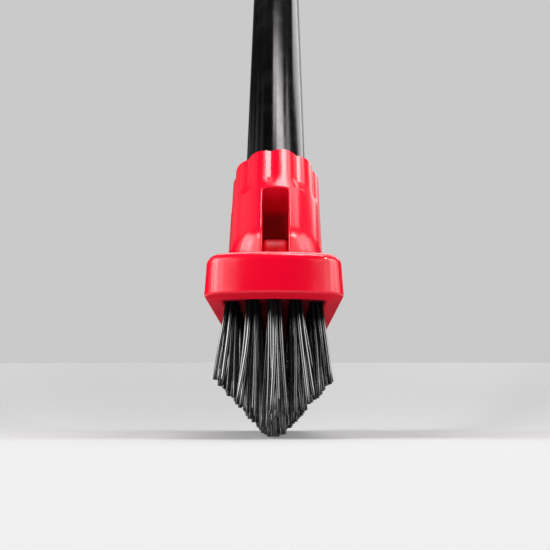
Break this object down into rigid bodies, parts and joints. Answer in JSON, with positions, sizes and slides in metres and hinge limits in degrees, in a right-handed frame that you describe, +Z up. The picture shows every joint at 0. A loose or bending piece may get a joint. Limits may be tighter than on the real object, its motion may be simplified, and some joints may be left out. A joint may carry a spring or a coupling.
{
  "type": "grout brush",
  "caption": "Long-handled grout brush: narrow swivelling head with a V-cut bristle field on a telescopic pole with a twist lock and a hand grip.",
  "frame": {"origin": "middle of the bristle ridge, under the hinge, on the plane of the longest bristle tips", "axes": "+Z up from the bristle tips to the block, +Y along the head to the side the pole leans to, +X across the head to the right when seen from the nose"},
  "size_m": [0.0364, 0.5388, 0.6556],
  "materials": {
    "red_plastic": "moulded, satin gloss",
    "bristle_black": "stiff black filaments, cut ends",
    "anchor_wire": "flat drawn wire",
    "hinge_steel": "zinc plated",
    "nylon": "natural nylon",
    "pole_black": "gloss black coating on steel tube",
    "inner_pole": "gloss black coating on steel tube",
    "black_plastic": "fine grained",
    "grip_rubber": "soft ribbed grip"
  },
  "bodies": {
    "upper_pole": {"inner_tube": "inner_pole", "slide_bush": "black_plastic", "grip": "grip_rubber", "end_cap": "black_plastic"},
    "lower_pole": {"outer_tube": "pole_black", "pole_tip": "black_plastic", "swivel_socket": "red_plastic", "hinge_bolt": "hinge_steel", "hinge_nut": "hinge_steel", "hinge_washers": "hinge_steel", "hinge_plugs": "red_plastic", "lock_base": "black_plastic", "clamp_ring": "nylon"},
    "twist_collar": {"lock_collar": "red_plastic"},
    "head": {"head_block": "red_plastic", "pivot_bushes": "nylon", "tuft_anchors": "anchor_wire", "tufts_left_outer": "bristle_black", "tufts_left_inner": "bristle_black", "tufts_centre": "bristle_black", "tufts_right_inner": "bristle_black", "tufts_right_outer": "bristle_black"}
  },
  "joints": [
    {"name": "pole_extend", "type": "slide", "parent": "upper_pole", "child": "lower_pole", "axis": [0, -0.5878, -0.809], "range_m": [0, 0.42]},
    {"name": "lock_twist", "type": "hinge", "parent": "lower_pole", "child": "twist_collar", "pos_m": [0, 0.33042, 0.51999], "axis": [0, 0.5878, 0.809], "range_deg": [0, 90]},
    {"name": "head_pivot", "type": "hinge", "parent": "lower_pole", "child": "head", "pos_m": [0, 0, 0.0652], "axis": [1, 0, 0], "range_deg": [-126, 54]}
  ]
}
